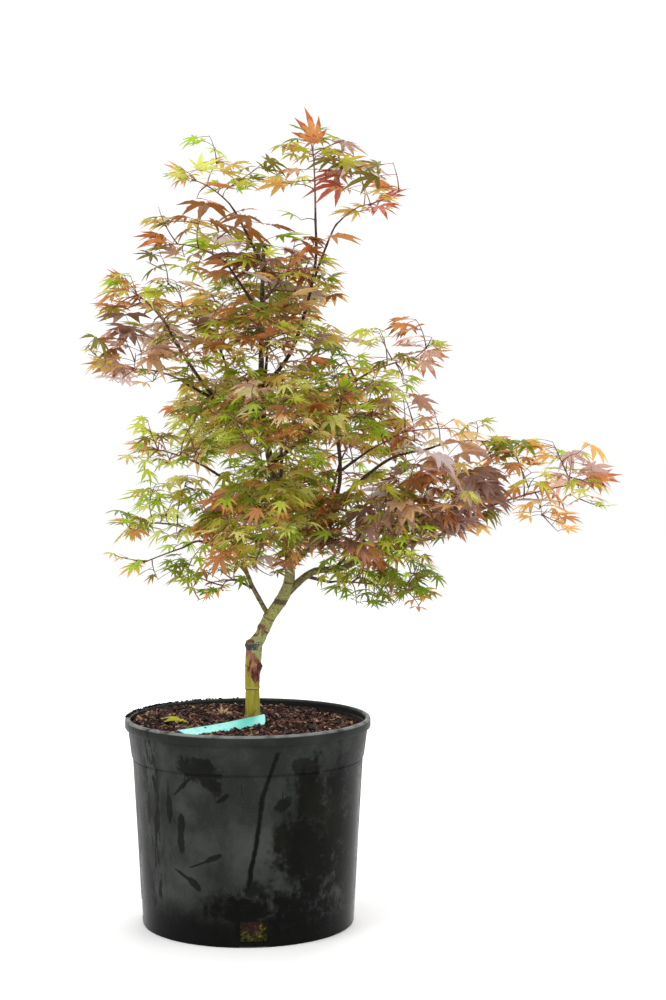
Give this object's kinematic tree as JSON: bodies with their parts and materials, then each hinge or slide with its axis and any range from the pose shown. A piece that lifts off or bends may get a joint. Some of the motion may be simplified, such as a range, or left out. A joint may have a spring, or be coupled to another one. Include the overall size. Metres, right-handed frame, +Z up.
{
  "type": "potted japanese maple",
  "caption": "Young japanese maple with a bent, grafted trunk and layered boughs of lobed leaves in green, rust and plum, in a round black nursery pot.",
  "frame": {"origin": "middle of the pot's flat underside, on the surface that it stands on", "axes": "+Z up, +X to the viewer's right along the long low bough, +Y to the back"},
  "size_m": [0.6185, 0.3509, 0.9221],
  "materials": {
    "pot_plastic": "satin",
    "bark_mulch": "matte",
    "label_plastic": "satin",
    "trunk_bark": "matte",
    "bough_bark": "matte",
    "lime_leaves": "matte",
    "olive_leaves": "matte",
    "rust_leaves": "matte",
    "rose_leaves": "matte",
    "plum_leaves": "matte",
    "crimson_leaves": "matte"
  },
  "bodies": {
    "root": {"pot": "pot_plastic", "soil": "bark_mulch", "plant_label": "label_plastic", "trunk": "trunk_bark", "low_right_bough": "bough_bark", "low_left_bough": "bough_bark", "right_rising_bough": "bough_bark", "leader_bough": "bough_bark", "leader_side_bough": "bough_bark", "top_left_bough": "bough_bark", "upper_left_bough": "bough_bark", "left_tip_bough": "bough_bark", "left_upper_bough": "bough_bark", "left_back_bough": "bough_bark", "right_upper_bough": "bough_bark", "right_mid_bough": "bough_bark", "right_inner_bough": "bough_bark", "left_middle_bough": "bough_bark", "left_low_bough": "bough_bark", "under_left_bough": "bough_bark", "front_middle_bough": "bough_bark", "front_low_bough": "bough_bark", "right_low_bough": "bough_bark", "right_far_bough": "bough_bark", "right_under_bough": "bough_bark", "back_upper_bough": "bough_bark", "back_middle_bough": "bough_bark", "back_right_bough": "bough_bark", "back_low_bough": "bough_bark", "leader_leaves": "rust_leaves", "leader_side_leaves": "crimson_leaves", "top_left_leaves": "olive_leaves", "upper_left_leaves": "rust_leaves", "core_top_leaves": "rust_leaves", "left_tip_leaves": "rust_leaves", "left_upper_leaves": "plum_leaves", "left_back_leaves": "rust_leaves", "core_upper_leaves": "rust_leaves", "right_upper_leaves": "rose_leaves", "right_rising_leaves": "lime_leaves", "core_middle_leaves": "olive_leaves", "right_inner_leaves": "rose_leaves", "right_mid_leaves": "olive_leaves", "left_middle_leaves": "lime_leaves", "core_low_leaves": "lime_leaves", "low_left_leaves": "lime_leaves", "left_low_leaves": "lime_leaves", "under_left_leaves": "lime_leaves", "front_middle_leaves": "rust_leaves", "front_low_leaves": "olive_leaves", "right_low_leaves": "olive_leaves", "low_right_leaves": "plum_leaves", "right_far_leaves": "rust_leaves", "right_under_leaves": "lime_leaves", "back_upper_leaves": "rust_leaves", "back_middle_leaves": "olive_leaves", "back_right_leaves": "rust_leaves", "back_low_leaves": "lime_leaves"}
  },
  "joints": []
}
